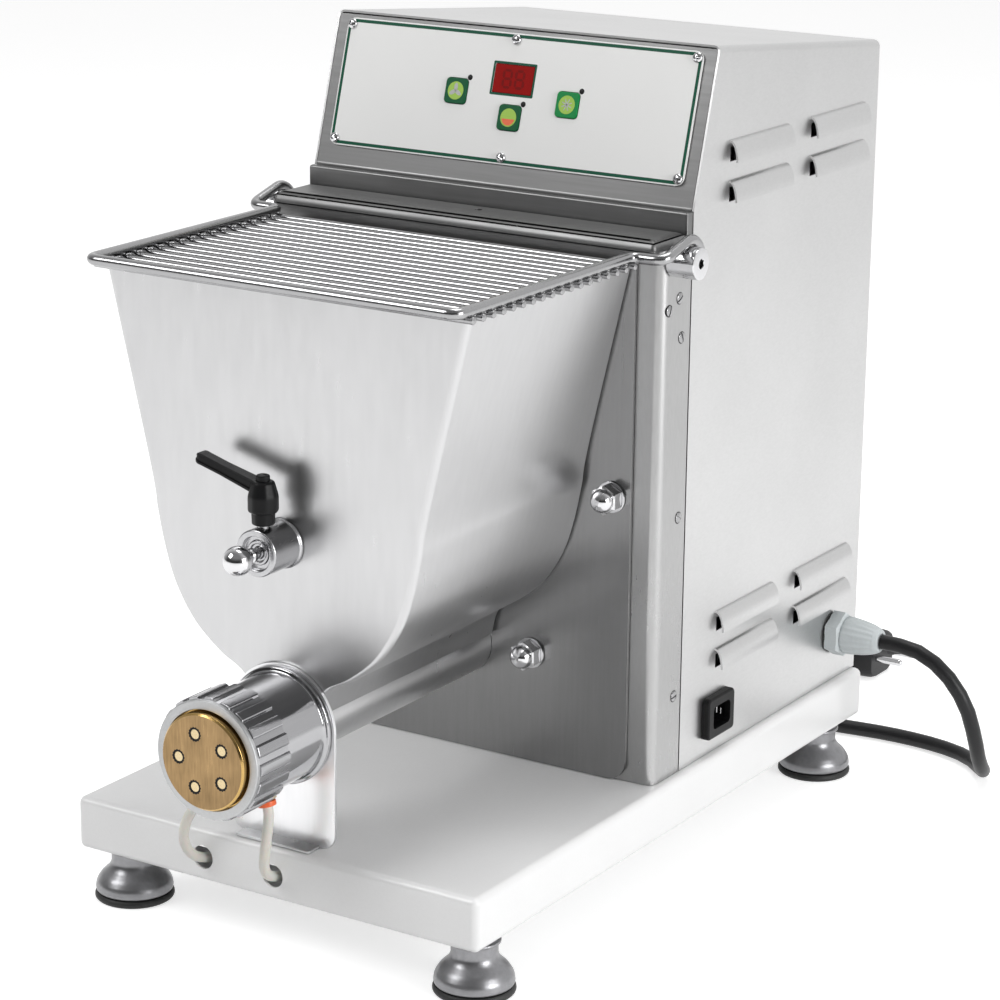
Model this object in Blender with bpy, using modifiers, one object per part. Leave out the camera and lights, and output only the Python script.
"""Electric pasta maker: a table-top extruder with a mixing hopper.

Lengths are in metres.  Machine coordinates start at the middle of the base tray's
front top edge: X to the machine's right, Y to its back, Z up from the tray's top.
One empty then lifts the whole machine onto its feet and centres it.
"""
import math

import bmesh
import bpy
import numpy as np
from mathutils import Matrix, Vector

# Fits shared by every piece.
GAP = 0.0003              # between pieces that touch
OVERRUN = 0.004           # how far a cut runs past the face it opens
WELD = 0.0001             # merge distance
SHEET = 0.0012            # casing sheet
RUN_FIT = 0.0008          # round a turning shaft

# Base tray and feet.
BASE_WIDTH = 0.260
BASE_DEPTH = 0.436
BASE_HEIGHT = 0.030
BASE_WALL = 0.0015
BASE_EDGE = 0.004
BASE_LIP = 0.036
FOOT_INSET_X = 0.018
FOOT_INSET_Y = 0.026
FOOT_HEIGHT = 0.028
FOOT_NECK_RADIUS = 0.0125
FOOT_BELL_RADIUS = 0.0215
FOOT_NECK_SHARE = 0.45    # of the height
FOOT_BELL_SHARE = 0.80
FOOT_STUD_RADIUS = 0.004
FOOT_STUD_LENGTH = 0.012
PAD_HEIGHT = 0.004
PAD_RADIUS = 0.022
PAD_TOP_SHARES = (0.96, 0.4)    # of its radius and height, where it rounds over

# Extruder axis and mixer axis above the tray.
AXIS_Z = 0.0645
MIXER_Z = 0.163

# Hopper.
HOPPER_TOP_Z = 0.2935
HOPPER_FOOT_RISE = 0.0075       # its foot above the extruder axis
HOPPER_SIDE = 0.011             # in from the casing's side
HOPPER_REAR_SHARE = 0.945       # rear outline's width of the front one's
HOPPER_SHEET = 0.0015
HOPPER_EDGE = 0.003
HOPPER_SMOOTH = 2
# Half outline, as (half width, height above the foot) shares, top to bottom.
HOPPER_SHARES = (
    (1.000, 1.000), (0.779, 0.545), (0.738, 0.430), (0.697, 0.339),
    (0.637, 0.253), (0.531, 0.171), (0.389, 0.110), (0.250, 0.068),
)

# Casing.
CASE_INSET = 0.006              # in from the tray's side
CASE_SEAM_Y = 0.217
CASE_EDGE = 0.004
SLOPE_LENGTH = 0.0888
TOP_FALL = 0.0185                # from the slope's top back to the casing's rear
SLOPE_LEAN = math.radians(16.35)
FRAME_CORNER = 0.006
FRAME_FLANGE = 0.024
FRAME_OVER = 0.0077             # above the hopper's top
FRAME_BAR = 0.007
SHELF_HEIGHT = 0.0065
SHELF_NOSE = 0.0085             # ahead of the front plate
SHELF_RISER = 0.006             # ahead of the seam
RISER_HEIGHT = 0.010
SHELF_EDGE = 0.003
SHELF_HOLE_RADIUS = 0.0022
SHELF_HOLE_BACK = 0.013
REAR_INSET = 0.001

# Louvres: two columns of two at each height, on both sides.
LOUVRE_LENGTH = 0.067
LOUVRE_HEIGHT = 0.012
LOUVRE_STAND = 0.0055
LOUVRE_SLOT = 0.008
LOUVRE_PITCH = 0.022
LOUVRE_ENDS_IN = 0.001
LOUVRE_REAR_INS = (0.113, 0.018)    # behind each column, to the casing's rear
LOUVRE_LOW_Z = 0.050
LOUVRE_DROP = 0.0862            # from the casing's top to the upper pair
LOUVRE_STEPS = 3

# Front plate and its dome nuts.
PLATE_Y = 0.1845
PLATE_THICK = 0.002
PLATE_SIDE = 0.016              # in from the casing's side
PLATE_OVER = 0.0005             # above the hopper's top
PLATE_CORNER = 0.012
NUT_SIDE = 0.028                # upper pair, in from the casing's side
NUT_LOWER_X = 0.046
NUT_FLATS = 0.0145
NUT_HEX_DEPTH = 0.008
NUT_DOME_RADIUS = 0.0068
NUT_WASHER_RADIUS = 0.0088
NUT_WASHER = 0.0014

# Control panel, in the slope's own plane: U across, V up the slope.
PANEL_SIDE = 0.0085             # in from the casing's side
PANEL_LOW_V = 0.012
PANEL_HIGH = 0.004              # below the slope's top
PANEL_THICK = 0.001
PANEL_CORNER = 0.005
DISPLAY_CENTRE = (-0.0002, 0.0593)
DISPLAY_SIZE = (0.025, 0.0158)
DISPLAY_BODY_SHARE = 0.8        # of its face, behind the fascia
BUTTON_SIZE = (0.0140, 0.0142)
BUTTON_CORNER = 0.0025
BUTTON_CENTRES = {
    "button_mixing": (-0.0358, 0.0497),
    "button_start_stop": (0.0011, 0.0380),
    "button_extrusion": (0.0368, 0.0485),
}
BUTTON_CAP = 0.0014
BUTTON_LIFT = 0.0009            # cap above the fascia at rest
BUTTON_TRAVEL = 0.0006
BUTTON_STEM_RADIUS = 0.003
BOARD_DEPTH = 0.0125            # board's face behind the slope
BOARD_THICK = 0.0016
BOARD_HALF_U = 0.075
BOARD_LOW_V = 0.016
BOARD_HIGH = 0.013              # below the slope's top
POST_RADIUS = 0.003
POST_INSET = 0.006

# Barrel, stand, head and die.
BARREL_RADIUS = 0.020
BARREL_WALL = 0.0035
BARREL_NOSE = 0.006             # ahead of the stand's front
FEED_HALF_X = 0.012
FEED_INSET = 0.015              # feed slot in from the hopper's ends
STAND_Y = 0.0123
STAND_THICK = 0.002
STAND_HALF_X = 0.0335
STAND_CORNER = 0.009
STAND_TOE = 0.010
STAND_TOE_HALF_X = 0.024
HEAD_FLANGE = 0.008
HEAD_FLANGE_STEP = 0.0025
HEAD_SHOULDER_Y = -0.0237
HEAD_SHOULDER_STEP = 0.0012
HEAD_THREAD_RADIUS = 0.0283
HEAD_THREAD = 0.0183            # shoulder to mouth
HEAD_BORE = 0.022
HEAD_BORE_DEPTH = 0.030
RING_WALL = 0.0047              # outside the thread
RING_STEP = 0.0018
RING_OVER = 0.010               # its face ahead of the head's mouth
RING_FACE_DEPTH = 0.0025
RING_LIP = 0.0032
RING_FLUTES = 20
RING_FLUTE_DEPTH = 0.0014
RING_FLUTE_SHARE = 0.42
DIE_PROUD = 0.004               # its face ahead of the ring nut's
DIE_STEP = 0.0018
DIE_CHAMFER = 0.0012
DIE_SPIGOT = 0.004
DIE_HOLES = 5
DIE_CIRCLE = 0.015
DIE_TURN = math.radians(17.0)
DIE_INSERT_RADIUS = 0.0042
DIE_PIN_RADIUS = 0.0026
DIE_INSERT_DEPTH = 0.0025
THREAD_FIT = 0.0003

# Hub, pull pin and clamp lever on the hopper's front.
HUB_RADIUS = 0.0125
HUB_FRONT_Y = -0.009
HUB_RECESS_RADIUS = 0.009
HUB_RECESS = 0.003
PIN_RADIUS = 0.003
PIN_GRIP = 0.010                # its tip inside the mixing shaft
BALL_RADIUS = 0.00775
BALL_AHEAD = 0.015              # its centre ahead of the hub
LEVER_BACK = 0.007              # its stud behind the hub's face
LEVER_STUD_RADIUS = 0.003
LEVER_FOOT = 0.001              # above the hub
LEVER_HUB_RADIUS = 0.008
LEVER_HUB_HEIGHT = 0.027
# Outline of the lever's hub, as (radius, height) shares from its top.
LEVER_SHARES = ((0.62, 1.00), (0.92, 0.93), (1.00, 0.60), (0.88, 0.20), (0.75, 0.00))
LEVER_ARM = 0.041
LEVER_ARM_DROP_SHARE = 0.12     # of the hub's height, from its top to the arm's
LEVER_RISE = math.radians(19.0)
LEVER_ARM_WIDTH = 0.009
LEVER_ARM_THICK = 0.007

# Mixing shaft and auger.
MIXER_RADIUS = 0.007
MIXER_START = 0.0054            # its end behind the hopper's front
MIXER_BORE_DEPTH = 0.014
PADDLES = 6
PADDLE_CLEAR = 0.0085           # over the barrel
PADDLE_RADIUS = 0.004
PADDLE_ROOM = 0.016             # shaft left bare at each end
PADDLE_TURN = math.radians(90.0)
AUGER_CORE = 0.0065
AUGER_FIT = 0.0007              # in the barrel
AUGER_PITCH = 0.024
AUGER_SHANK = 0.008
AUGER_SHANK_RADIUS = 0.009
AUGER_FLIGHT = 0.004
AUGER_ROOT_SHARE = 0.8          # of the core, where the flight starts
AUGER_RINGS = 9                 # to a turn

# Drive inside the casing.
SHAFT_RADIUS = 0.010
BEARING_RADIUS = 0.022
BEARING_WIDTH = 0.012
BEARING_SHARES = (0.75, 0.33)   # body's radius, and flange's width
PULLEY_ROOM = 0.0072            # behind the bearings
PULLEY_WIDTH = 0.012
DRIVE_PULLEY = 0.022
MIXER_PULLEY = 0.0385
BELT_THICK = 0.003
BELT_FIT = 0.0005
BELT_STEPS = 14
GEARBOX_ROOM = 0.010            # behind the pulleys
GEARBOX_SHARE = 0.3314          # of the room behind the pulleys
GEARBOX_HALF_X = 0.046
GEARBOX_TOP_Z = 0.118
GEARBOX_POCKET = 0.012
GEARBOX_EDGE = 0.0028
MOTOR_RADIUS = 0.050
MOTOR_REAR_ROOM = 0.0187        # fan end to the casing's back
MOTOR_WALL = 0.014
MOTOR_SHIELD_SHARE = 0.1064     # of the can's length
ROTOR_SHAFT = 0.007
ROTOR_FIT = 0.001
ROTOR_FAN_RADIUS = 0.034
ROTOR_FAN = 0.010

# Guard grille and its bosses.
HINGE_BACK = 0.0115             # behind the front plate's face
HINGE_RISE = 0.0015             # above the hopper's top
BOSS_RADIUS = 0.00875
BOSS_LENGTH = 0.0167
BOSS_SHAFT = 0.004
BOSS_SHAFT_REACH = 0.013
BOSS_SOCKET = 0.0025
BOSS_SOCKET_DEPTH = 0.006
BOSS_RIM_SHARE = 0.1
GUARD_ROD = 0.003
GUARD_BAR = 0.002
GUARD_BARS = 18
GUARD_OVER = 0.001              # beyond the hopper's sides
GUARD_AHEAD = 0.0126            # ahead of the hopper's front
GUARD_JOG = 0.0065              # ahead of the shelf
GUARD_SINK = 0.0006             # how far a bar is welded into its rod
GUARD_BAR_OVER = 0.004
GUARD_BAR_START = 0.010
GUARD_ARM = 0.0092              # out from the casing's side
GUARD_HOOK_END = math.radians(-30.0)
SWITCH_SIZE = (0.010, 0.016, 0.024)

# Cooling hoses, fittings and barbs.
HOSE_RADIUS = 0.0033
HOSE_HOLE_RADIUS = 0.0066
HOSE_HOLE_Z = -0.016
HOSE_HOLES = (-0.044, 0.002)
FITTING_BACK = 0.0107           # behind the head's shoulder
FITTING_TURNS = (math.radians(40.0), math.radians(-14.0))
FITTING_FLATS = 0.010
FITTING_HEX = 0.0035
FITTING_SHANK_RADIUS = 0.0040
FITTING_SHANK = 0.0050
COLLAR_RADIUS = 0.0050
COLLAR_LENGTH = 0.0028
HOSE_STEP = 0.0165              # between the tubes' points
BARB_XS = (-0.050, 0.050)
BARB_FLATS = 0.015
BARB_HEX = 0.006
BARB_RADIUS = 0.0052
BARB_LENGTH = 0.016
BARB_RIBS = 3
BARB_CORE_SHARE = 0.75
BARB_CREST_SHARE = 0.25         # of a rib's length
BARB_SHANK = 0.010

# Mains side.
OUTLET_BACK = 0.025             # behind the seam
OUTLET_LOW_Z = 0.0105
OUTLET_SIZE = (0.0305, 0.0245)
OUTLET_FLANGE = 0.0045
OUTLET_BODY = 0.024
OUTLET_RIM = 0.003
OUTLET_WELL = 0.014
OUTLET_WELL_RIM = 0.0055
OUTLET_CORNER = 0.002
GLAND_AHEAD = 0.032             # ahead of the casing's rear
GLAND_Z = 0.031
GLAND_FLATS = 0.024
GLAND_HEX = 0.010
GLAND_DOME_RADIUS = 0.0115
GLAND_NECK_RADIUS = 0.0070
GLAND_DOME = 0.023
# Outline of the gland's dome, as (radius, height) shares from its foot.
GLAND_SHARES = ((0.97, 0.25), (0.88, 0.50), (0.74, 0.78))
GLAND_SHANK_RADIUS = 0.009
GLAND_SHANK = 0.010
CORD_RADIUS = 0.0045
CORD_STEP = 0.0225              # between the tube's points
COIL_TURNS_IN = 2.5
COIL_TURNS_CLIMB = 0.5
COIL_RADIUS = 0.0625            # to the middle of the outermost turn
COIL_GAP = 0.0007
COIL_DIP = 0.0020
COIL_CENTRE = (-0.020, 0.532)
COIL_TURN_POINTS = 24
PLUG_LEAD = 0.028               # straight cord between the coil and the plug
PLUG_WIDTH = 0.036
PLUG_LENGTH = 0.044
PLUG_NECK = 0.016
PLUG_NECK_RADIUS = 0.0065
PLUG_PIN_RADIUS = 0.0024
PLUG_PIN_LENGTH = 0.019
PLUG_PIN_SPREAD = 0.0095
PLUG_EDGE = 0.007

# Hose routes between the fittings and the barbs, in machine coordinates.
HOSE_ROUTES = (
    ((-0.0360, -0.0130, 0.0220), (-0.0440, -0.0135, 0.0090), (-0.0470, -0.0120, -0.0030),
     (-0.0460, -0.0070, -0.0120), (-0.0445, 0.0010, -0.0165), (-0.0450, 0.0120, -0.0185),
     (-0.0480, 0.0500, -0.0190), (-0.0500, 0.2000, -0.0230)),
    ((0.0092, -0.0130, 0.0180), (0.0080, -0.0138, 0.0060), (0.0055, -0.0120, -0.0050),
     (0.0035, -0.0065, -0.0125), (0.0022, 0.0010, -0.0165), (0.0030, 0.0120, -0.0185),
     (0.0150, 0.0600, -0.0190), (0.0450, 0.1600, -0.0220), (0.0500, 0.2600, -0.0230)),
)

# Facets: round pieces by size.
FINE, MEDIUM, COARSE = 24, 14, 10

# Places and sizes that follow from the ones above.
CASE_HALF = BASE_WIDTH / 2 - CASE_INSET
INNER_HALF = CASE_HALF - SHEET
CASE_REAR_Y = BASE_DEPTH - REAR_INSET
PLATE_BACK_Y = PLATE_Y + PLATE_THICK
PLATE_HALF_X = CASE_HALF - PLATE_SIDE
PLATE_TOP_Z = HOPPER_TOP_Z + PLATE_OVER
NUT_PLACES = ((CASE_HALF - NUT_SIDE, MIXER_Z), (NUT_LOWER_X, AXIS_Z))
FRAME_FRONT_Y = PLATE_BACK_Y + GAP
FRAME_INNER_X = CASE_HALF - FRAME_FLANGE
FRAME_TOP_Z = HOPPER_TOP_Z + FRAME_OVER
SHELF_NOSE_Y = PLATE_Y - SHELF_NOSE
SHELF_RISER_Y = CASE_SEAM_Y - SHELF_RISER
SHELF_TOP_Z = FRAME_TOP_Z + GAP + SHELF_HEIGHT
SLOPE_BASE_Z = SHELF_TOP_Z + RISER_HEIGHT
SLOPE_TOP_Z = SLOPE_BASE_Z + SLOPE_LENGTH * math.cos(SLOPE_LEAN)
SLOPE_TOP_Y = CASE_SEAM_Y + SLOPE_LENGTH * math.sin(SLOPE_LEAN)
TOP_FALL_SHARE = TOP_FALL / (CASE_REAR_Y - SLOPE_TOP_Y)
LOUVRE_HIGH_Z = SLOPE_TOP_Z - LOUVRE_DROP
PANEL_HALF_U = CASE_HALF - PANEL_SIDE
PANEL_V = (PANEL_LOW_V, SLOPE_LENGTH - PANEL_HIGH)
BOARD_V = (BOARD_LOW_V, SLOPE_LENGTH - BOARD_HIGH)
HOPPER_FRONT_Y = STAND_Y + STAND_THICK + GAP
HOPPER_REAR_Y = PLATE_Y - GAP
HOPPER_HALF_X = CASE_HALF - HOPPER_SIDE
HOPPER_FOOT_Z = AXIS_Z + HOPPER_FOOT_RISE
BARREL_BORE = BARREL_RADIUS - BARREL_WALL
BARREL_NOSE_Y = STAND_Y - BARREL_NOSE
FEED_Y = (HOPPER_FRONT_Y + FEED_INSET, HOPPER_REAR_Y - FEED_INSET)
HEAD_REAR_Y = STAND_Y - GAP
HEAD_RADIUS = HEAD_THREAD_RADIUS + HEAD_SHOULDER_STEP
HEAD_FLANGE_RADIUS = HEAD_RADIUS + HEAD_FLANGE_STEP
HEAD_MOUTH_Y = HEAD_SHOULDER_Y - HEAD_THREAD
HEAD_STEP_Y = HEAD_MOUTH_Y + HEAD_BORE_DEPTH
RING_RADIUS = HEAD_THREAD_RADIUS + RING_WALL
RING_FACE_RADIUS = RING_RADIUS - RING_STEP
RING_FACE_Y = HEAD_MOUTH_Y - RING_OVER
RING_REAR_Y = HEAD_SHOULDER_Y - GAP
RING_BORE = HEAD_THREAD_RADIUS + THREAD_FIT
DIE_FACE_Y = RING_FACE_Y - DIE_PROUD
DIE_RADIUS = HEAD_THREAD_RADIUS - DIE_STEP
DIE_FLANGE_Y = RING_FACE_Y + RING_LIP + GAP
FITTING_Y = HEAD_SHOULDER_Y + FITTING_BACK
MIXER_FRONT_Y = HOPPER_FRONT_Y + MIXER_START
PIN_TIP_Y = MIXER_FRONT_Y + PIN_GRIP
BALL_Y = HUB_FRONT_Y - BALL_AHEAD
LEVER_Y = HUB_FRONT_Y + LEVER_BACK
LEVER_FOOT_Z = MIXER_Z + HUB_RADIUS + LEVER_FOOT
PADDLE_REACH = MIXER_Z - AXIS_Z - BARREL_RADIUS - PADDLE_CLEAR
AUGER_RADIUS = BARREL_BORE - AUGER_FIT
AUGER_TAIL_Y = HOPPER_REAR_Y - GAP - AUGER_SHANK
PULLEY_Y = PLATE_BACK_Y + GAP + BEARING_WIDTH + PULLEY_ROOM
GEARBOX_FRONT_Y = PULLEY_Y + PULLEY_WIDTH + GEARBOX_ROOM
MOTOR_REAR_Y = CASE_REAR_Y - SHEET - MOTOR_REAR_ROOM
GEARBOX_REAR_Y = GEARBOX_FRONT_Y + GEARBOX_SHARE * (MOTOR_REAR_Y - GEARBOX_FRONT_Y)
HINGE_Y = PLATE_Y + HINGE_BACK
HINGE_Z = HOPPER_TOP_Z + HINGE_RISE
GUARD_HALF_X = HOPPER_HALF_X + GUARD_OVER
GUARD_FRONT_Y = HOPPER_FRONT_Y - GUARD_AHEAD
GUARD_JOG_Y = SHELF_NOSE_Y - GUARD_JOG
GUARD_BAR_Z = HOPPER_TOP_Z + GAP + GUARD_BAR
GUARD_Z = GUARD_BAR_Z + GUARD_BAR + GUARD_ROD - GUARD_SINK
GUARD_ARM_X = CASE_HALF + GAP + GUARD_ARM
OUTLET_Y = (CASE_SEAM_Y + OUTLET_BACK, CASE_SEAM_Y + OUTLET_BACK + OUTLET_SIZE[0])
OUTLET_Z = (OUTLET_LOW_Z, OUTLET_LOW_Z + OUTLET_SIZE[1])
GLAND_Y = CASE_REAR_Y - GLAND_AHEAD
GLAND_END_X = CASE_HALF + GAP + GLAND_HEX + GLAND_DOME
BARB_END_Y = BASE_DEPTH + BARB_HEX + BARB_LENGTH
FLOOR_Z = -(BASE_HEIGHT + GAP + FOOT_HEIGHT + GAP + PAD_HEIGHT)
CENTRE_Y = (DIE_FACE_Y + BARB_END_Y) / 2
CORD_FLOOR_Z = FLOOR_Z + CORD_RADIUS + GAP
COIL_LAYER = 2 * CORD_RADIUS + COIL_GAP
COIL_TOP_Z = CORD_FLOOR_Z + COIL_LAYER
PLUG_HEIGHT = 2 * (COIL_TOP_Z - FLOOR_Z - GAP)
FACING_FRONT = (math.radians(90), 0, 0)      # local Z towards -Y
SIDE_ON = (math.radians(90), 0, math.radians(90))   # local X, Y, Z to +Y, +Z, +X
FACING_RIGHT = (0, math.radians(90), 0)      # local Z towards +X
FACING_LEFT = (0, math.radians(-90), 0)      # local Z towards -X


# Helpers that make and place the shapes.
def clear_scene():
    for old in list(bpy.data.objects):
        bpy.data.objects.remove(old, do_unlink=True)


def make_collection(name):
    group = bpy.data.collections.new(name)
    bpy.context.scene.collection.children.link(group)
    return group


clear_scene()
PARTS = make_collection("pasta_maker")
CUTTERS = make_collection("cutters")


def finish(name, colour, roughness, metallic=0.0):
    """A plain material with one colour."""
    found = bpy.data.materials.get(name)
    if found:
        return found
    made = bpy.data.materials.new(name)
    made.use_nodes = True
    shader = made.node_tree.nodes["Principled BSDF"]
    shader.inputs["Base Color"].default_value = (*colour, 1.0)
    shader.inputs["Roughness"].default_value = roughness
    shader.inputs["Metallic"].default_value = metallic
    return made


def steel():
    return finish("brushed_steel", (0.62, 0.62, 0.61), 0.34, 1.0)


def dark_steel():
    return finish("dark_steel", (0.30, 0.30, 0.30), 0.36, 1.0)


def chrome():
    return finish("polished_steel", (0.78, 0.78, 0.78), 0.10, 1.0)


def aluminium():
    return finish("turned_aluminium", (0.72, 0.72, 0.73), 0.28, 1.0)


def brass():
    return finish("die_brass", (0.66, 0.47, 0.22), 0.30, 1.0)


def white_paint():
    return finish("white_paint", (0.86, 0.86, 0.85), 0.38)


def black_plastic():
    return finish("black_plastic", (0.018, 0.018, 0.020), 0.45)


def rubber():
    return finish("black_rubber", (0.020, 0.020, 0.020), 0.75)


def cast_grey():
    return finish("cast_grey", (0.30, 0.31, 0.32), 0.55, 0.4)


def empty(name, at=(0, 0, 0), turn=(0, 0, 0), parent=None):
    frame = bpy.data.objects.new(name, None)
    frame.location = at
    frame.rotation_euler = turn
    frame.parent = parent
    CUTTERS.objects.link(frame)
    return frame


MACHINE = empty("machine_frame", at=(0, -CENTRE_Y, -FLOOR_Z))


def place(name, mesh, material=None, at=(0, 0, 0), turn=(0, 0, 0), parent=MACHINE):
    """Put a mesh in the scene: with a material as a part, without one as a cutter."""
    made = bpy.data.objects.new(name, mesh)
    made.location = at
    made.rotation_euler = turn
    made.parent = parent
    if material is None:
        CUTTERS.objects.link(made)
        made.hide_render = True
        made.display_type = "WIRE"
    else:
        PARTS.objects.link(made)
        mesh.materials.append(material)
    return made


def mesh_from(work, name):
    mesh = bpy.data.meshes.new(name)
    work.to_mesh(mesh)
    work.free()
    mesh.shade_smooth()
    mesh.set_sharp_from_angle(angle=math.radians(35))
    return mesh


def add_cube(work, low, high):
    size = Vector(high) - Vector(low)
    middle = (Vector(high) + Vector(low)) / 2
    shape = Matrix.Translation(middle) @ Matrix.Diagonal((*size, 1))
    return bmesh.ops.create_cube(work, size=1, matrix=shape)


def box_mesh(name, low, high):
    """A box between two corners."""
    work = bmesh.new()
    add_cube(work, low, high)
    return mesh_from(work, name)


def boxes_mesh(name, corners):
    """Several boxes that stand apart, as one cutter."""
    work = bmesh.new()
    for low, high in corners:
        add_cube(work, low, high)
    return mesh_from(work, name)


def add_round(work, radius, start, end, sides, top_radius=None, turn=0.0):
    """A cylinder or cone along local Z between two heights."""
    middle = Matrix.Translation((0, 0, (start + end) / 2))
    bmesh.ops.create_cone(
        work, cap_ends=True, segments=sides, radius1=radius,
        radius2=radius if top_radius is None else top_radius,
        depth=abs(end - start), matrix=middle @ Matrix.Rotation(turn, 4, "Z"))


def round_mesh(name, radius, start, end, sides, turn=0.0):
    work = bmesh.new()
    add_round(work, radius, start, end, sides, turn=turn)
    return mesh_from(work, name)


def hex_mesh(name, flats, start, end):
    """A hexagonal prism with a given width across its flats."""
    return round_mesh(name, flats / math.sqrt(3), start, end, 6)


def bevel(thing, width, segments=2, angle=40):
    made = thing.modifiers.new("rounded_edges", "BEVEL")
    made.width = width
    made.segments = segments
    made.limit_method = "ANGLE"
    made.angle_limit = math.radians(angle)
    return made


def solidify(thing, thickness, offset=-1.0):
    made = thing.modifiers.new("wall", "SOLIDIFY")
    made.thickness = thickness
    made.offset = offset
    made.use_even_offset = True
    return made


def boolean(thing, other, operation):
    made = thing.modifiers.new(operation.lower() + "_" + other.name, "BOOLEAN")
    made.object = other
    made.operation = operation
    made.solver = "EXACT"
    return made


def cut(thing, other):
    return boolean(thing, other, "DIFFERENCE")


def join(thing, other):
    return boolean(thing, other, "UNION")


def turned(name, profile, sides, material=None, **where):
    """Turn a profile about local Z.

    The profile is a list of (radius, height) from the top of the outside to the
    bottom.  It starts and ends on the axis, or it is a ring's closed outline.
    """
    closed = profile[0][0] > 0
    work = bmesh.new()
    points = [work.verts.new((radius, 0, height)) for radius, height in profile]
    pairs = list(zip(points, points[1:]))
    if closed:
        pairs.append((points[-1], points[0]))
    for first, second in pairs:
        work.edges.new((first, second))
    made = place(name, mesh_from(work, name), material, **where)
    screw = made.modifiers.new("turned", "SCREW")
    screw.axis = "Z"
    screw.steps = sides
    screw.render_steps = sides
    screw.use_merge_vertices = True
    screw.merge_threshold = WELD
    screw.use_smooth_shade = True
    return made


def turned_front(name, profile, sides, x, z, material=None, parent=MACHINE):
    """A turned piece on an axis along Y; its profile is (radius, y), front first."""
    local = [(radius, -y) for radius, y in profile]
    return turned(name, local, sides, material, at=(x, 0, z), turn=FACING_FRONT, parent=parent)


def mesh_of_curve(curve):
    """Make a curve a welded mesh, and remove the curve."""
    bpy.context.view_layer.update()
    graph = bpy.context.evaluated_depsgraph_get()
    mesh = bpy.data.meshes.new_from_object(curve.evaluated_get(graph))
    work = bmesh.new()
    work.from_mesh(mesh)
    bmesh.ops.remove_doubles(work, verts=work.verts, dist=WELD / 10)
    bmesh.ops.recalc_face_normals(work, faces=work.faces)
    name = curve.name
    data = curve.data
    bpy.data.objects.remove(curve, do_unlink=True)
    bpy.data.curves.remove(data)
    bpy.data.meshes.remove(mesh)
    return mesh_from(work, name)


def plate_mesh(name, loops, thickness):
    """A flat outline with holes, centred on its own plane."""
    data = bpy.data.curves.new(name, "CURVE")
    data.dimensions = "2D"
    data.fill_mode = "BOTH"
    data.extrude = thickness / 2
    for loop in loops:
        spline = data.splines.new("POLY")
        spline.points.add(len(loop) - 1)
        for point, (across, up) in zip(spline.points, loop):
            point.co = (across, up, 0, 1)
        spline.use_cyclic_u = True
    curve = bpy.data.objects.new(name, data)
    CUTTERS.objects.link(curve)
    return mesh_of_curve(curve)


def tube_mesh(name, points, radius, resolution=2):
    """A round tube along points, with filled ends."""
    data = bpy.data.curves.new(name, "CURVE")
    data.dimensions = "3D"
    data.bevel_depth = radius
    data.bevel_resolution = resolution
    data.use_fill_caps = True
    spline = data.splines.new("POLY")
    spline.points.add(len(points) - 1)
    for point, place_of in zip(spline.points, points):
        point.co = (*place_of, 1)
    curve = bpy.data.objects.new(name, data)
    CUTTERS.objects.link(curve)
    return mesh_of_curve(curve)


def arc(centre, radius, start, end, steps):
    """Points of an arc, in degrees, both ends included."""
    angles = np.radians(np.linspace(start, end, steps + 1))
    return [(centre[0] + radius * math.cos(a), centre[1] + radius * math.sin(a)) for a in angles]


def circle(centre, radius, sides):
    return arc(centre, radius, 0, 360, sides)[:-1]


def rounded_rectangle(low, high, radius, steps=3):
    left, bottom = low
    right, top = high
    inner = radius
    points = arc((right - inner, top - inner), radius, 0, 90, steps)
    points += arc((left + inner, top - inner), radius, 90, 180, steps)
    points += arc((left + inner, bottom + inner), radius, 180, 270, steps)
    points += arc((right - inner, bottom + inner), radius, 270, 360, steps)
    return points


def smooth_path(points, step):
    """Even points on a smooth curve through the given ones, with square ends."""
    knots = np.array(points, float)
    ends = (2 * knots[:1] - knots[1:2], 2 * knots[-1:] - knots[-2:-1])
    k = np.concatenate([ends[0], knots, ends[1]])
    t = np.linspace(0, 1, 24, endpoint=False)[:, None]
    runs = []
    for a, b, c, d in zip(k, k[1:], k[2:], k[3:]):
        runs.append(0.5 * (2 * b + (c - a) * t + (2 * a - 5 * b + 4 * c - d) * t ** 2
                           + (3 * b - a - 3 * c + d) * t ** 3))
    line = np.concatenate(runs + [knots[-1:]])
    lengths = np.concatenate([[0], np.cumsum(np.linalg.norm(np.diff(line, axis=0), axis=1))])
    count = max(2, int(round(lengths[-1] / step)) + 1)
    even = np.linspace(0, lengths[-1], count)
    near = even[1] / 6
    even = np.concatenate([[0, near], even[1:-1], [lengths[-1] - near, lengths[-1]]])
    return np.stack([np.interp(even, lengths, line[:, i]) for i in range(3)], axis=1), lengths[-1]


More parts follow.
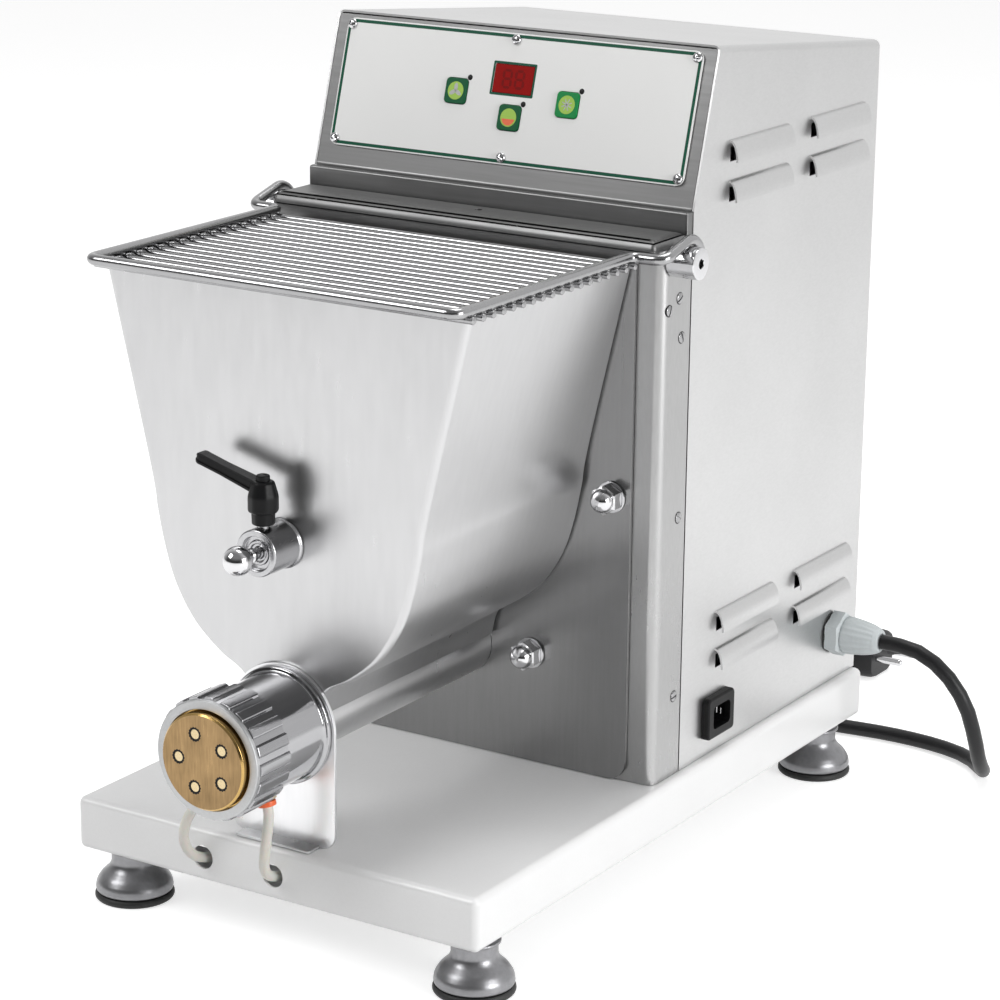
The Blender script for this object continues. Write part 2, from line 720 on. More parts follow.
# Base tray, feet and pads.
def base_tray():
    """A folded pan, open below inside its lip."""
    half = BASE_WIDTH / 2
    work = bmesh.new()
    add_cube(work, (-half, 0, -BASE_HEIGHT), (half, BASE_DEPTH, 0))
    floor = [face for face in work.faces if face.normal.z < -0.5]
    bmesh.ops.inset_region(work, faces=floor, thickness=BASE_LIP)
    bmesh.ops.delete(work, geom=floor, context="FACES")
    tray = place("base_tray", mesh_from(work, "base_tray"), white_paint())
    bevel(tray, BASE_EDGE, 2)
    solidify(tray, BASE_WALL)
    for index, x in enumerate(HOSE_HOLES):
        hole = round_mesh("hose_hole", HOSE_HOLE_RADIUS, -OVERRUN, OVERRUN, MEDIUM)
        cut(tray, place(f"hose_hole_{index}", hole, at=(x, 0, HOSE_HOLE_Z), turn=FACING_FRONT))
    for index, x in enumerate(BARB_XS):
        hole = round_mesh("barb_hole", BARB_RADIUS + GAP, -OVERRUN, OVERRUN, COARSE)
        spot = (x, BASE_DEPTH, HOSE_HOLE_Z)
        cut(tray, place(f"barb_hole_{index}", hole, at=spot, turn=FACING_FRONT))
    for name, x, y in foot_places():
        hole = round_mesh("stud_hole", FOOT_STUD_RADIUS + GAP, -OVERRUN, OVERRUN, COARSE)
        cut(tray, place("hole_" + name, hole, at=(x, y, -BASE_HEIGHT)))


def foot_places():
    x = BASE_WIDTH / 2 - FOOT_INSET_X
    rows = (("front", FOOT_INSET_Y), ("rear", BASE_DEPTH - FOOT_INSET_Y))
    sides = (("left", -x), ("right", x))
    return [(f"foot_{row}_{side}", px, y) for row, y in rows for side, px in sides]


def feet():
    """Bell feet, each bolted up through the tray's lip, with a rubber pad."""
    bell, neck = FOOT_BELL_RADIUS, FOOT_NECK_RADIUS
    flare = bell - neck
    foot = [(0, FOOT_STUD_LENGTH), (FOOT_STUD_RADIUS, FOOT_STUD_LENGTH),
            (FOOT_STUD_RADIUS, 0), (neck, 0), (neck, -FOOT_HEIGHT * FOOT_NECK_SHARE)]
    shoulder = arc((bell - flare, -FOOT_HEIGHT * FOOT_BELL_SHARE), flare, 62, 0, 2)
    foot += shoulder + [(bell, -FOOT_HEIGHT), (0, -FOOT_HEIGHT)]
    rest_z = -BASE_HEIGHT - GAP
    for name, x, y in foot_places():
        turned(name, foot, MEDIUM, aluminium(), at=(x, y, rest_z))
        pad_name = name.replace("foot_", "foot_pad_")
        pad_z = rest_z - FOOT_HEIGHT - GAP
        top, side = PAD_TOP_SHARES
        pad = [(0, 0), (PAD_RADIUS * top, 0), (PAD_RADIUS, -PAD_HEIGHT * side),
               (PAD_RADIUS, -PAD_HEIGHT), (0, -PAD_HEIGHT)]
        turned(pad_name, pad, MEDIUM, rubber(), at=(x, y, pad_z))


# Casing.
def front_frame():
    """Two bent columns joined by bars behind the front plate."""
    front, seam = FRAME_FRONT_Y, CASE_SEAM_Y - GAP
    corner = (CASE_HALF - FRAME_CORNER, front + FRAME_CORNER)
    outline = [(FRAME_INNER_X, front)] + arc(corner, FRAME_CORNER, -90, 0, 4)
    outline += [(CASE_HALF, seam), (INNER_HALF, seam)]
    outline += arc(corner, FRAME_CORNER - SHEET, 0, -90, 4)
    outline += [(FRAME_INNER_X, front + SHEET)]
    height = FRAME_TOP_Z - GAP
    column = plate_mesh("front_frame", [outline], height)
    frame = place("front_frame", column, steel(), at=(0, 0, GAP + height / 2))
    mirror = frame.modifiers.new("left_column", "MIRROR")
    mirror.merge_threshold = WELD
    reach = FRAME_INNER_X + OVERRUN
    back = front + 2 * SHEET
    levels = ((GAP, GAP + FRAME_BAR), (FRAME_TOP_Z - FRAME_BAR, FRAME_TOP_Z))
    bars = boxes_mesh("frame_bars", [((-reach, front, z), (reach, back, top)) for z, top in levels])
    join(frame, place("frame_bars", bars))
    across = round_mesh("hinge_hole", BOSS_SHAFT + GAP, -BASE_WIDTH, BASE_WIDTH, COARSE)
    cut(frame, place("hinge_hole", across, at=(0, HINGE_Y, HINGE_Z), turn=FACING_RIGHT))


def front_plate():
    """The flat plate behind the hopper, with rounded lower corners."""
    half, corner = PLATE_HALF_X, PLATE_CORNER
    low = GAP
    outline = [(half, PLATE_TOP_Z), (-half, PLATE_TOP_Z)]
    outline += arc((-half + corner, low + corner), corner, 180, 270, 4)
    outline += arc((half - corner, low + corner), corner, 270, 360, 4)
    holes = [circle((0, MIXER_Z), MIXER_RADIUS + RUN_FIT, MEDIUM),
             circle((0, AXIS_Z), SHAFT_RADIUS + RUN_FIT, MEDIUM)]
    mesh = plate_mesh("front_plate", [outline] + holes, PLATE_THICK)
    place("front_plate", mesh, steel(), at=(0, PLATE_Y + PLATE_THICK / 2, 0), turn=FACING_FRONT)


def dome_nuts():
    """Four cap nuts with their washers on the front plate."""
    hex_top = NUT_WASHER + NUT_HEX_DEPTH
    profile = arc((0, hex_top), NUT_DOME_RADIUS, 90, 0, 4)
    profile[0] = (0, hex_top + NUT_DOME_RADIUS)
    profile += [(NUT_DOME_RADIUS, NUT_WASHER), (NUT_WASHER_RADIUS, NUT_WASHER),
                (NUT_WASHER_RADIUS, 0), (0, 0)]
    for level, (x, z) in zip(("upper", "lower"), NUT_PLACES):
        for side, sign in (("left", -1), ("right", 1)):
            name = f"dome_nut_{level}_{side}"
            spot = (sign * x, PLATE_Y - GAP, z)
            nut = turned(name, profile, COARSE, chrome(), at=spot, turn=FACING_FRONT)
            flats = hex_mesh("flats_" + name, NUT_FLATS, NUT_WASHER / 2, hex_top)
            join(nut, place("flats_" + name, flats, at=spot, turn=FACING_FRONT))


def louvre_places():
    """Front bottom corner of each louvre, as (y, z)."""
    rows = [z + step for z in (LOUVRE_LOW_Z, LOUVRE_HIGH_Z) for step in (0, LOUVRE_PITCH)]
    fronts = [CASE_REAR_Y - behind - LOUVRE_LENGTH for behind in LOUVRE_REAR_INS]
    return [(y, z) for y in fronts for z in rows]


def louvre_hoods():
    """Bent flaps, open below and at both ends, for both sides of the cover."""
    turn = np.linspace(0, math.pi / 2, LOUVRE_STEPS + 1)
    deep, stand = LOUVRE_HEIGHT, LOUVRE_STAND
    outer = [(stand * math.sin(a), deep * math.cos(a)) for a in turn]
    inner = [((stand - SHEET) * math.sin(a), (deep - SHEET) * math.cos(a)) for a in turn]
    outline = [(-SHEET / 2, deep)] + outer + inner[::-1] + [(-SHEET / 2, deep - SHEET)]
    flap = plate_mesh("louvre_flap", [outline], LOUVRE_LENGTH)
    work = bmesh.new()
    for side in (-1, 1):
        for y, z in louvre_places():
            first = len(work.verts)
            work.from_mesh(flap)
            work.verts.ensure_lookup_table()
            spot = Matrix.Translation((side * CASE_HALF, y + LOUVRE_LENGTH / 2, z))
            shape = spot @ Matrix.Diagonal((side, 1, 1, 1)) @ Matrix.Rotation(math.pi / 2, 4, "X")
            bmesh.ops.transform(work, matrix=shape, verts=work.verts[first:])
    bmesh.ops.recalc_face_normals(work, faces=work.faces)
    return mesh_from(work, "louvre_hoods")


def louvre_slots():
    """The openings behind the hoods."""
    slots = []
    for side in (-1, 1):
        near, far = sorted((side * (INNER_HALF - OVERRUN), side * (CASE_HALF + OVERRUN)))
        for y, z in louvre_places():
            start, end = y + LOUVRE_ENDS_IN, y + LOUVRE_LENGTH - LOUVRE_ENDS_IN
            slots.append(((near, start, z), (far, end, z + LOUVRE_SLOT)))
    return boxes_mesh("louvre_slots", slots)


def slope_point(along, depth=0.0):
    """A point (y, z) so far up the slope and so deep behind it."""
    rise, run = math.cos(SLOPE_LEAN), math.sin(SLOPE_LEAN)
    return (CASE_SEAM_Y + along * run + depth * rise, SLOPE_BASE_Z + along * rise - depth * run)


def slant(cover):
    """Makes the top fall towards the rear, by the same share of the way back everywhere."""
    move = cover.matrix_basis
    back = move.inverted()
    for corner in cover.data.vertices:
        spot = move @ corner.co
        if spot.z > LOUVRE_HIGH_Z:
            spot.z -= TOP_FALL_SHARE * (spot.y - SLOPE_TOP_Y)
            corner.co = back @ spot


def housing_cover():
    """Sides and top as one bent sheet, cut to the panel's slope in front."""
    half, top, edge = CASE_HALF, SLOPE_TOP_Z, CASE_EDGE
    inner_edge = edge - SHEET
    outline = [(half, GAP)] + arc((half - edge, top - edge), edge, 0, 90, 4)
    outline += arc((edge - half, top - edge), edge, 90, 180, 4) + [(-half, GAP)]
    outline += [(-INNER_HALF, GAP)] + arc((edge - half, top - edge), inner_edge, 180, 90, 4)
    outline += arc((half - edge, top - edge), inner_edge, 90, 0, 4) + [(INNER_HALF, GAP)]
    depth = CASE_REAR_Y - CASE_SEAM_Y
    mesh = plate_mesh("housing_cover", [outline], depth)
    middle = (0, CASE_SEAM_Y + depth / 2, 0)
    cover = place("housing_cover", mesh, steel(), at=middle, turn=FACING_FRONT)
    slant(cover)
    wedge = [slope_point(-OVERRUN), slope_point(SLOPE_LENGTH + OVERRUN)]
    wedge += [slope_point(SLOPE_LENGTH + OVERRUN, -SLOPE_LENGTH), slope_point(-OVERRUN, -SLOPE_LENGTH)]
    cut(cover, place("slope_cut", plate_mesh("slope_cut", [wedge], 2 * BASE_WIDTH), turn=SIDE_ON))
    cut(cover, place("louvre_slots", louvre_slots()))
    join(cover, place("louvre_hoods", louvre_hoods()))
    socket = box_mesh("outlet_hole", *outlet_body(GAP, OVERRUN))
    cut(cover, place("outlet_hole", socket))
    hole = round_mesh("gland_hole", GLAND_SHANK_RADIUS + GAP, -OVERRUN, OVERRUN, MEDIUM)
    cut(cover, place("gland_hole", hole, at=(CASE_HALF, GLAND_Y, GLAND_Z), turn=FACING_RIGHT))


def rear_panel():
    """The flat back, fitted inside the cover."""
    half, edge = INNER_HALF - GAP, CASE_EDGE - SHEET
    top = SLOPE_TOP_Z - TOP_FALL - SHEET - GAP
    outline = [(half, GAP)] + arc((half - edge, top - edge), edge, 0, 90, 2)
    outline += arc((edge - half, top - edge), edge, 90, 180, 2) + [(-half, GAP)]
    middle = CASE_REAR_Y - SHEET / 2
    mesh = plate_mesh("rear_panel", [outline], SHEET)
    place("rear_panel", mesh, steel(), at=(0, middle, 0), turn=FACING_FRONT)


def shelf():
    """A ledge over the hopper's back edge, folded down in front and at its ends."""
    work = bmesh.new()
    back = SHELF_RISER_Y - GAP
    add_cube(work, (-CASE_HALF, SHELF_NOSE_Y, FRAME_TOP_Z + GAP), (CASE_HALF, back, SHELF_TOP_Z))
    opened = [face for face in work.faces if face.normal.z < -0.5 or face.normal.y > 0.5]
    bmesh.ops.delete(work, geom=opened, context="FACES")
    ledge = place("shelf", mesh_from(work, "shelf"), dark_steel())
    bevel(ledge, SHELF_EDGE, 3)
    solidify(ledge, SHEET)
    hole = round_mesh("shelf_hole", SHELF_HOLE_RADIUS, -OVERRUN, OVERRUN, COARSE)
    cut(ledge, place("shelf_hole", hole, at=(0, SHELF_RISER_Y - SHELF_HOLE_BACK, SHELF_TOP_Z)))


# Control panel.
SLOPE = empty("slope_frame", at=(0, CASE_SEAM_Y, SLOPE_BASE_Z),
              turn=(math.pi / 2 - SLOPE_LEAN, 0, 0), parent=MACHINE)


def window(centre, size, room):
    """Corners of a rectangle about a centre, grown by some room."""
    (u, v), (wide, high) = centre, size
    return ((u - wide / 2 - room, v - high / 2 - room), (u + wide / 2 + room, v + high / 2 + room))


def control_fascia():
    """The sloping front sheet with its lip and the riser behind the shelf."""
    lean = SLOPE_LEAN
    head = (SLOPE_LENGTH * math.cos(lean) - SHEET - GAP) / math.cos(lean)
    foot_back = (SHEET * math.sin(lean) - SHEET) / math.cos(lean)
    low = FRAME_TOP_Z + SHEET
    riser, lip = SHELF_RISER_Y, SLOPE_BASE_Z
    outline = [slope_point(head), slope_point(0), (riser, lip), (riser, low),
               (riser + SHEET, low), (riser + SHEET, lip - SHEET),
               slope_point(foot_back, SHEET), slope_point(head - SHEET * math.tan(lean), SHEET)]
    mesh = plate_mesh("control_fascia", [outline], 2 * (INNER_HALF - GAP))
    sheet = place("control_fascia", mesh, dark_steel(), turn=SIDE_ON)
    room, edge = INNER_HALF - GAP, CASE_EDGE - SHEET
    ceiling = SLOPE_TOP_Z - SHEET - GAP
    space = [(room, 0)] + arc((room - edge, ceiling - edge), edge, 0, 90, 4)
    space += arc((edge - room, ceiling - edge), edge, 90, 180, 4) + [(-room, 0)]
    inside = plate_mesh("cover_room", [space], 2 * BASE_DEPTH)
    boolean(sheet, place("cover_room", inside, turn=FACING_FRONT), "INTERSECT")
    for name, (u, v) in BUTTON_CENTRES.items():
        hole = round_mesh("hole_" + name, BUTTON_STEM_RADIUS + GAP, -OVERRUN, OVERRUN, COARSE)
        cut(sheet, place("hole_" + name, hole, at=(u, v, 0), parent=SLOPE))
    low_corner, high_corner = window(DISPLAY_CENTRE, display_body(), GAP)
    hole = box_mesh("display_hole", (*low_corner, -OVERRUN), (*high_corner, OVERRUN))
    cut(sheet, place("display_hole", hole, parent=SLOPE))


def display_body():
    return tuple(DISPLAY_BODY_SHARE * size for size in DISPLAY_SIZE)


def control_plate():
    """The printed plate, with windows for the display and the buttons."""
    outline = rounded_rectangle((-PANEL_HALF_U, PANEL_V[0]), (PANEL_HALF_U, PANEL_V[1]), PANEL_CORNER)
    holes = [rounded_rectangle(*window(centre, BUTTON_SIZE, GAP), BUTTON_CORNER)
             for centre in BUTTON_CENTRES.values()]
    low, high = window(DISPLAY_CENTRE, DISPLAY_SIZE, GAP)
    holes.append([low, (high[0], low[1]), high, (low[0], high[1])])
    mesh = plate_mesh("control_plate", [outline] + holes, PANEL_THICK)
    place("control_plate", mesh, white_paint(), at=(0, 0, GAP + PANEL_THICK / 2), parent=SLOPE)


def display_window():
    low, high = window(DISPLAY_CENTRE, DISPLAY_SIZE, 0)
    pane = box_mesh("display_window", (*low, GAP), (*high, GAP + PANEL_THICK))
    red = finish("display_red", (0.16, 0.012, 0.014), 0.15)
    shown = place("display_window", pane, red, parent=SLOPE)
    low, high = window(DISPLAY_CENTRE, display_body(), 0)
    body = box_mesh("display_body", (*low, GAP - BOARD_DEPTH), (*high, GAP + PANEL_THICK / 2))
    join(shown, place("display_body", body, parent=SLOPE))


def buttons():
    """Push buttons in the control plate, each with a stem to the board."""
    green = finish("button_green", (0.03, 0.22, 0.09), 0.4)
    stem_end = GAP + BUTTON_TRAVEL - BOARD_DEPTH
    for name, (u, v) in BUTTON_CENTRES.items():
        axis = empty("axis_" + name, at=(u, v, 0), parent=SLOPE)
        low, high = window((0, 0), BUTTON_SIZE, 0)
        outline = rounded_rectangle(low, high, BUTTON_CORNER)
        cap = plate_mesh(name, [outline], BUTTON_CAP)
        button = place(name, cap, green, at=(0, 0, BUTTON_LIFT + BUTTON_CAP / 2), parent=axis)
        bevel(button, BUTTON_CAP / 4, 1, 60)
        top = BUTTON_LIFT + BUTTON_CAP / 2
        stem = round_mesh("stem_" + name, BUTTON_STEM_RADIUS, stem_end, top, COARSE)
        join(button, place("stem_" + name, stem, parent=axis))


def control_board():
    """The circuit board on four posts behind the fascia."""
    low, high = -BOARD_DEPTH - BOARD_THICK, -BOARD_DEPTH
    box = box_mesh("control_board", (-BOARD_HALF_U, BOARD_V[0], low), (BOARD_HALF_U, BOARD_V[1], high))
    board = place("control_board", box, finish("board_green", (0.02, 0.12, 0.06), 0.5), parent=SLOPE)
    work = bmesh.new()
    for u in (POST_INSET - BOARD_HALF_U, BOARD_HALF_U - POST_INSET):
        for v in (BOARD_V[0] + POST_INSET, BOARD_V[1] - POST_INSET):
            first = len(work.verts)
            add_round(work, POST_RADIUS, low + BOARD_THICK / 2, -SHEET - GAP, COARSE)
            work.verts.ensure_lookup_table()
            bmesh.ops.translate(work, vec=(u, v, 0), verts=work.verts[first:])
    join(board, place("board_posts", mesh_from(work, "board_posts"), parent=SLOPE))


# Hopper, barrel, stand and head.
def hopper_half_outline(share):
    """Smooth half outline of the hopper, top to foot, as (x, z)."""
    height = HOPPER_TOP_Z - HOPPER_FOOT_Z
    knots = [(HOPPER_HALF_X * share * x, HOPPER_FOOT_Z + height * z) for x, z in HOPPER_SHARES]
    knots.append((BARREL_RADIUS + GAP + HOPPER_SHEET, HOPPER_FOOT_Z))
    points = [knots[0]]
    padded = [knots[0]] + knots + [(knots[-1][0], 2 * knots[-1][1] - knots[-2][1])]
    for a, b, c, d in zip(padded[1:], padded[2:], padded[3:], padded[4:]):
        for step in range(1, HOPPER_SMOOTH + 1):
            t = step / HOPPER_SMOOTH
            points.append(tuple(
                0.5 * (2 * q + (r - p) * t + (2 * p - 5 * q + 4 * r - s) * t ** 2
                       + (3 * q - p - 3 * r + s) * t ** 3)
                for p, q, r, s in zip(a, b, c, d)))
    return points


def hopper():
    """A lofted sheet vessel: open above, and below along the barrel."""
    front = hopper_half_outline(1.0)
    rear = hopper_half_outline(HOPPER_REAR_SHARE)
    work = bmesh.new()
    rings = []
    for outline, y in ((front, HOPPER_FRONT_Y), (rear, HOPPER_REAR_Y)):
        right = [work.verts.new((x, y, z)) for x, z in outline]
        left = [work.verts.new((-x, y, z)) for x, z in outline]
        rings.append((right, left))
    (front_right, front_left), (rear_right, rear_left) = rings
    for near, far in ((front_right, rear_right), (front_left, rear_left)):
        for i in range(len(near) - 1):
            work.faces.new((near[i], near[i + 1], far[i + 1], far[i]))
    work.faces.new(front_right[::-1] + front_left)
    work.faces.new(rear_left[::-1] + rear_right)
    bmesh.ops.recalc_face_normals(work, faces=work.faces)
    vessel = place("hopper", mesh_from(work, "hopper"), steel())
    bevel(vessel, HOPPER_EDGE, 1, 50)
    solidify(vessel, HOPPER_SHEET)
    reach = HOPPER_REAR_Y + OVERRUN
    barrel = round_mesh("barrel_room", BARREL_RADIUS + GAP, -reach, OVERRUN, FINE)
    cut(vessel, place("barrel_room", barrel, at=(0, 0, AXIS_Z), turn=FACING_FRONT))
    for name, radius, y in (("pin_room", PIN_RADIUS + GAP, HOPPER_FRONT_Y),
                            ("shaft_room", MIXER_RADIUS + RUN_FIT, HOPPER_REAR_Y)):
        hole = round_mesh(name, radius, -OVERRUN, OVERRUN, MEDIUM)
        cut(vessel, place(name, hole, at=(0, y, MIXER_Z), turn=FACING_FRONT))


def extrusion_barrel():
    """The tube under the hopper, open on top where the dough drops in."""
    profile = [(BARREL_RADIUS, BARREL_NOSE_Y), (BARREL_RADIUS, HOPPER_REAR_Y),
               (BARREL_BORE, HOPPER_REAR_Y), (BARREL_BORE, BARREL_NOSE_Y)]
    barrel = turned_front("extrusion_barrel", profile, FINE, 0, AXIS_Z, steel())
    top = AXIS_Z + BARREL_RADIUS + OVERRUN
    feed = box_mesh("feed_slot", (-FEED_HALF_X, FEED_Y[0], AXIS_Z), (FEED_HALF_X, FEED_Y[1], top))
    cut(barrel, place("feed_slot", feed))


def support_stand():
    """The round-topped plate that carries the head, on a bent toe."""
    half, corner = STAND_HALF_X, STAND_CORNER
    outline = arc((0, AXIS_Z), half, 0, 180, 16)
    outline += arc((-half + corner, GAP + corner), corner, 180, 270, 4)
    outline += arc((half - corner, GAP + corner), corner, 270, 360, 4)
    hole = circle((0, AXIS_Z), BARREL_RADIUS + GAP, FINE)
    mesh = plate_mesh("support_stand", [outline, hole], STAND_THICK)
    middle = STAND_Y + STAND_THICK / 2
    stand = place("support_stand", mesh, chrome(), at=(0, middle, 0), turn=FACING_FRONT)
    low = (-STAND_TOE_HALF_X, STAND_Y - STAND_TOE, GAP)
    toe = box_mesh("stand_toe", low, (STAND_TOE_HALF_X, middle, GAP + STAND_THICK))
    join(stand, place("stand_toe", toe))


def die_head():
    """The water-cooled cylinder with its flange and the ring nut's thread."""
    flange_y = HEAD_REAR_Y - HEAD_FLANGE
    seat, seat_y = BARREL_RADIUS + GAP, BARREL_NOSE_Y - GAP
    profile = [
        (HEAD_THREAD_RADIUS, HEAD_MOUTH_Y), (HEAD_THREAD_RADIUS, HEAD_SHOULDER_Y),
        (HEAD_RADIUS, HEAD_SHOULDER_Y), (HEAD_RADIUS, flange_y),
        (HEAD_FLANGE_RADIUS, flange_y), (HEAD_FLANGE_RADIUS, HEAD_REAR_Y),
        (seat, HEAD_REAR_Y), (seat, seat_y), (BARREL_BORE, seat_y),
        (BARREL_BORE, HEAD_STEP_Y), (HEAD_BORE, HEAD_STEP_Y), (HEAD_BORE, HEAD_MOUTH_Y)]
    head = turned_front("die_head", profile, FINE, 0, AXIS_Z, chrome())
    for index, turn in enumerate(FITTING_TURNS):
        deep = HEAD_RADIUS - FITTING_SHANK - GAP
        hole = round_mesh(f"fitting_hole_{index}", FITTING_SHANK_RADIUS + GAP,
                          -HEAD_RADIUS - OVERRUN, -deep, COARSE)
        cut(head, place(f"fitting_hole_{index}", hole, at=(0, FITTING_Y, AXIS_Z), turn=(0, turn, 0)))


# Die and ring nut.
DIE_AXIS = empty("die_axis", at=(0, 0, AXIS_Z), parent=MACHINE)


def die_body():
    """The brass die: a flange held by the ring nut, with insert seats in its face."""
    face, lip = DIE_FACE_Y, DIE_FLANGE_Y
    back = HEAD_MOUTH_Y - GAP
    spigot = HEAD_BORE - THREAD_FIT
    profile = [(0, face), (DIE_RADIUS - DIE_CHAMFER, face), (DIE_RADIUS, face + DIE_CHAMFER),
               (DIE_RADIUS, lip), (HEAD_THREAD_RADIUS, lip), (HEAD_THREAD_RADIUS, back),
               (spigot, back), (spigot, back + DIE_SPIGOT), (0, back + DIE_SPIGOT)]
    die = turned_front("die_body", profile, FINE, 0, 0, brass(), parent=DIE_AXIS)
    groove = [(DIE_INSERT_RADIUS, face - OVERRUN), (DIE_INSERT_RADIUS, face + DIE_INSERT_DEPTH),
              (DIE_PIN_RADIUS, face + DIE_INSERT_DEPTH), (DIE_PIN_RADIUS, face - OVERRUN)]
    for index in range(DIE_HOLES):
        angle = DIE_TURN + 2 * math.pi * index / DIE_HOLES
        x, z = -DIE_CIRCLE * math.sin(angle), DIE_CIRCLE * math.cos(angle)
        cut(die, turned_front(f"insert_seat_{index}", groove, COARSE, x, z, parent=DIE_AXIS))


def ring_nut():
    """The fluted nut that clamps the die on the head."""
    face, step = RING_FACE_Y, RING_FACE_Y + RING_FACE_DEPTH
    profile = [(RING_FACE_RADIUS, face), (RING_FACE_RADIUS, step), (RING_RADIUS, step),
               (RING_RADIUS, RING_REAR_Y), (RING_BORE, RING_REAR_Y), (RING_BORE, face + RING_LIP),
               (DIE_RADIUS + THREAD_FIT, face + RING_LIP), (DIE_RADIUS + THREAD_FIT, face)]
    ring = turned_front("ring_nut", profile, 2 * RING_FLUTES, 0, 0, aluminium(), parent=DIE_AXIS)
    wide = 2 * math.pi * RING_RADIUS / RING_FLUTES * RING_FLUTE_SHARE
    work = bmesh.new()
    for index in range(RING_FLUTES):
        first = len(work.verts)
        add_cube(work, (-wide / 2, step, RING_RADIUS - RING_FLUTE_DEPTH),
                 (wide / 2, RING_REAR_Y + OVERRUN, RING_RADIUS + OVERRUN))
        work.verts.ensure_lookup_table()
        turn = Matrix.Rotation(2 * math.pi * (index + 0.5) / RING_FLUTES, 4, "Y")
        bmesh.ops.transform(work, matrix=turn, verts=work.verts[first:])
    cut(ring, place("ring_flutes", mesh_from(work, "ring_flutes"), parent=DIE_AXIS))


# Hub, pull pin and clamp lever.
def pin_hub():
    rear = HOPPER_FRONT_Y - GAP
    bore = PIN_RADIUS + GAP
    floor = HUB_FRONT_Y + HUB_RECESS
    profile = [(HUB_RADIUS, HUB_FRONT_Y), (HUB_RADIUS, rear), (bore, rear), (bore, floor),
               (HUB_RECESS_RADIUS, floor), (HUB_RECESS_RADIUS, HUB_FRONT_Y)]
    hub = turned_front("pin_hub", profile, MEDIUM, 0, MIXER_Z, chrome())
    hole = round_mesh("stud_room", LEVER_STUD_RADIUS + GAP, MIXER_Z, MIXER_Z + 2 * HUB_RADIUS, COARSE)
    cut(hub, place("stud_room", hole, at=(0, LEVER_Y, 0)))


def pull_pin():
    """A ball-ended pin that holds the mixing shaft's front end."""
    grip = math.degrees(math.asin(PIN_RADIUS / BALL_RADIUS))
    ball = arc((0, -BALL_Y), BALL_RADIUS, 90, grip - 90, 6)
    profile = [(radius, -height) for radius, height in ball]
    profile[0] = (0, BALL_Y - BALL_RADIUS)
    profile += [(PIN_RADIUS, PIN_TIP_Y), (0, PIN_TIP_Y)]
    turned_front("pull_pin", profile, MEDIUM, 0, MIXER_Z, chrome())


def clamp_lever():
    """A moulded lever on a stud that clamps the pull pin."""
    axis = empty("lever_axis", at=(0, LEVER_Y, LEVER_FOOT_Z), parent=MACHINE)
    tall, wide = LEVER_HUB_HEIGHT, LEVER_HUB_RADIUS
    stud_end = MIXER_Z + PIN_RADIUS + GAP - LEVER_FOOT_Z
    profile = [(0, tall)] + [(wide * across, tall * up) for across, up in LEVER_SHARES]
    profile += [(LEVER_STUD_RADIUS, 0), (LEVER_STUD_RADIUS, stud_end), (0, stud_end)]
    lever = turned("clamp_lever", profile, MEDIUM, black_plastic(), parent=axis)
    half, thick = LEVER_ARM_WIDTH / 2, LEVER_ARM_THICK / 2
    arm = box_mesh("lever_arm", (-LEVER_ARM, -half, -thick), (0, half, thick))
    height = tall - thick - LEVER_ARM_DROP_SHARE * tall
    shaped = place("lever_arm", arm, at=(0, 0, height), turn=(0, LEVER_RISE, 0), parent=axis)
    bevel(shaped, thick / 2, 2)
    join(lever, shaped)


# Mixing shaft and auger.
def mixing_shaft():
    """A shaft with crossed paddle bars, bored in front for the pull pin."""
    axis = empty("mixer_axis", at=(0, 0, MIXER_Z), parent=MACHINE)
    end, bottom = HOPPER_REAR_Y - GAP, MIXER_FRONT_Y + MIXER_BORE_DEPTH
    bore = PIN_RADIUS + GAP
    profile = [(0, bottom), (bore, bottom), (bore, MIXER_FRONT_Y), (MIXER_RADIUS, MIXER_FRONT_Y),
               (MIXER_RADIUS, end), (0, end)]
    shaft = turned_front("mixing_shaft", profile, COARSE, 0, 0, steel(), parent=axis)
    work = bmesh.new()
    spots = np.linspace(MIXER_FRONT_Y + PADDLE_ROOM, end - PADDLE_ROOM, PADDLES)
    for index, y in enumerate(spots):
        first = len(work.verts)
        add_round(work, PADDLE_RADIUS, -PADDLE_REACH, PADDLE_REACH, 8)
        work.verts.ensure_lookup_table()
        turn = Matrix.Translation((0, y, 0)) @ Matrix.Rotation(index * PADDLE_TURN, 4, "Y")
        bmesh.ops.transform(work, matrix=turn, verts=work.verts[first:])
    join(shaft, place("paddle_bars", mesh_from(work, "paddle_bars"), parent=axis))


def helical_flight(core, outer, width, start, length, pitch, rings):
    """A square-edged thread round local Z, closed at both ends."""
    turns = length / pitch
    count = int(turns * rings) + 1
    angle = np.linspace(0, 2 * math.pi * turns, count)
    height = start + np.linspace(0, length, count)
    corners = ((core, -width / 2), (outer, -width / 2), (outer, width / 2), (core, width / 2))
    work = bmesh.new()
    loops = []
    for a, h in zip(angle, height):
        loops.append([work.verts.new((r * math.cos(a), r * math.sin(a), h + up)) for r, up in corners])
    for near, far in zip(loops, loops[1:]):
        for i in range(len(corners)):
            j = (i + 1) % len(corners)
            work.faces.new((near[i], near[j], far[j], far[i]))
    work.faces.new(loops[0])
    work.faces.new(loops[-1][::-1])
    bmesh.ops.recalc_face_normals(work, faces=work.faces)
    return mesh_from(work, "auger_flight")


